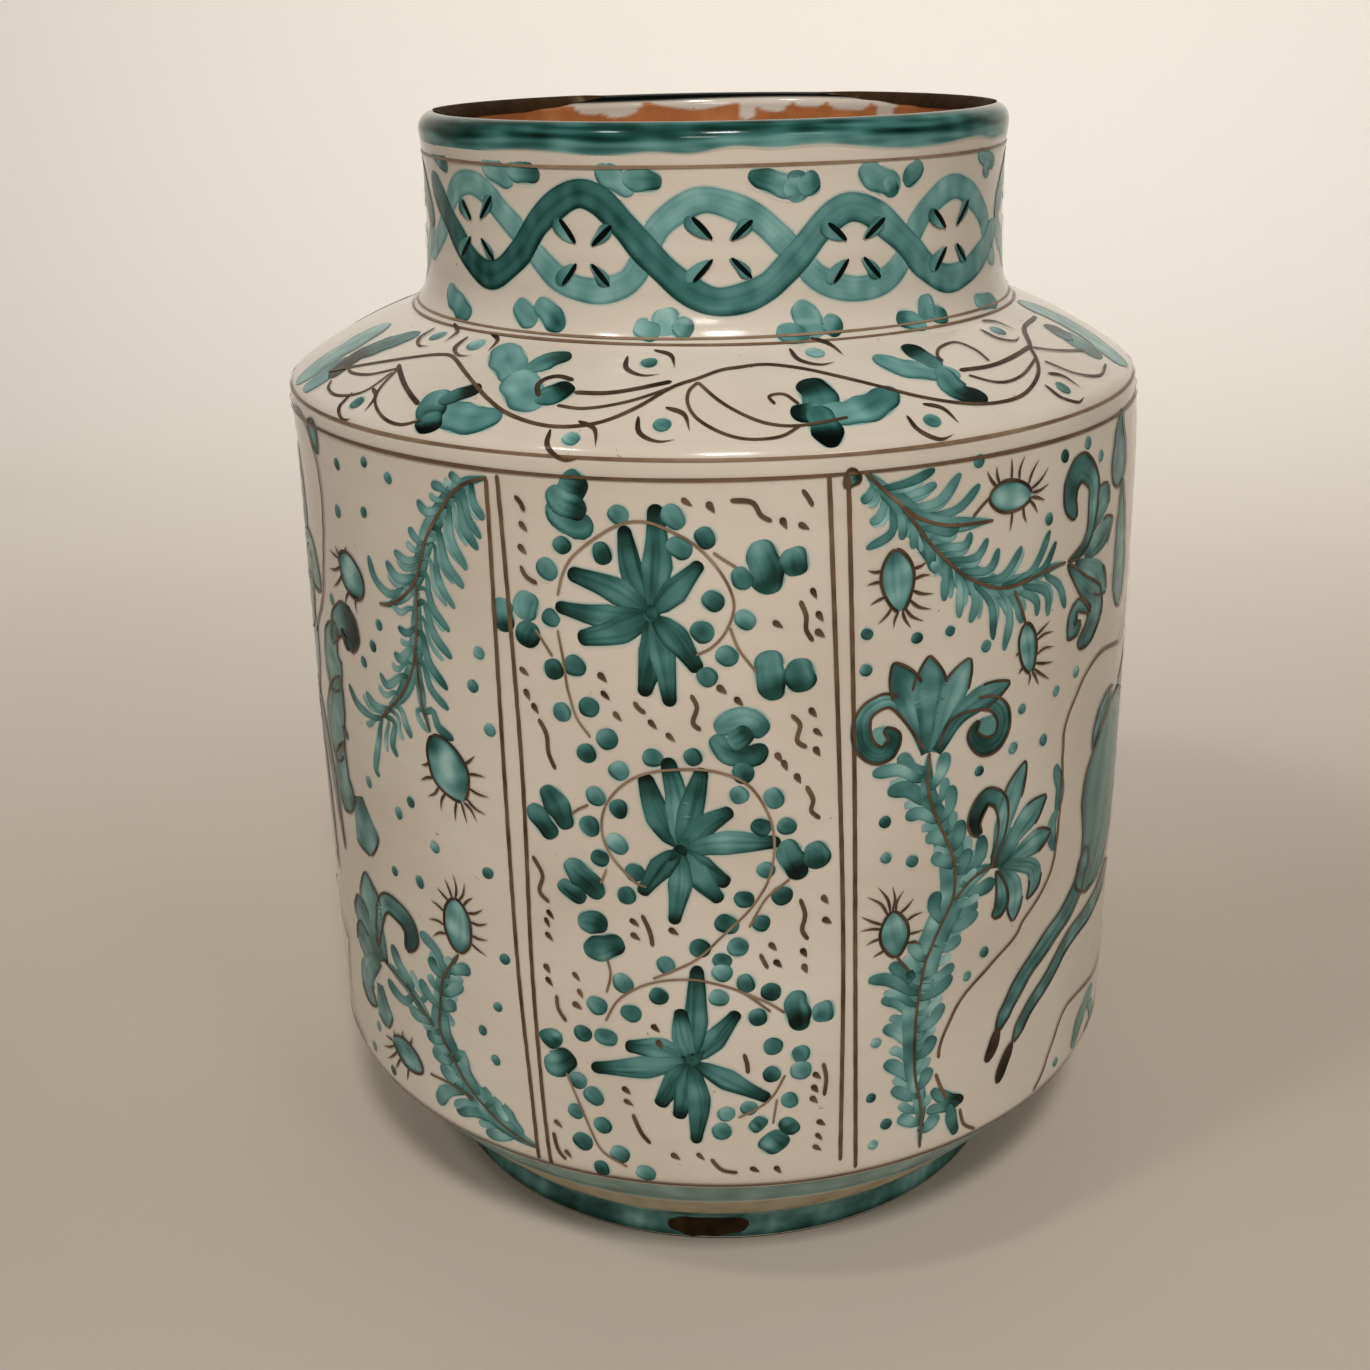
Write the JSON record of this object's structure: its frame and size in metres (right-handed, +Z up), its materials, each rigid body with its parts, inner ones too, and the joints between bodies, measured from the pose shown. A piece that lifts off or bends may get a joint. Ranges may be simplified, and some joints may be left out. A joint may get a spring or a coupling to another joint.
{
  "type": "glazed jar",
  "caption": "Glazed earthenware storage jar: straight neck with rounded lip, sloping shoulder, near-cylindrical body, flared base on a turned foot ring, open and hollow.",
  "frame": {"origin": "middle of the foot ring's flat underside, where the jar stands on a surface", "axes": "+Z up along the jar's axis of revolution, towards the open mouth; -Y towards the painted star strip"},
  "size_m": [0.237, 0.237, 0.3],
  "materials": {
    "cream_glaze": "glossy warm white tin glaze",
    "rim_green": "glossy copper green glaze",
    "base_wash": "thin grey-green wash under glaze",
    "foot_green": "copper green band, worn at the edge",
    "bare_clay": "bare fired terracotta"
  },
  "bodies": {
    "root": {"foot_ring": "foot_green", "base_floor": "bare_clay", "base_flare": "base_wash", "body_wall": "cream_glaze", "shoulder": "cream_glaze", "neck_collar": "cream_glaze", "rim_lip": "rim_green"}
  },
  "joints": []
}
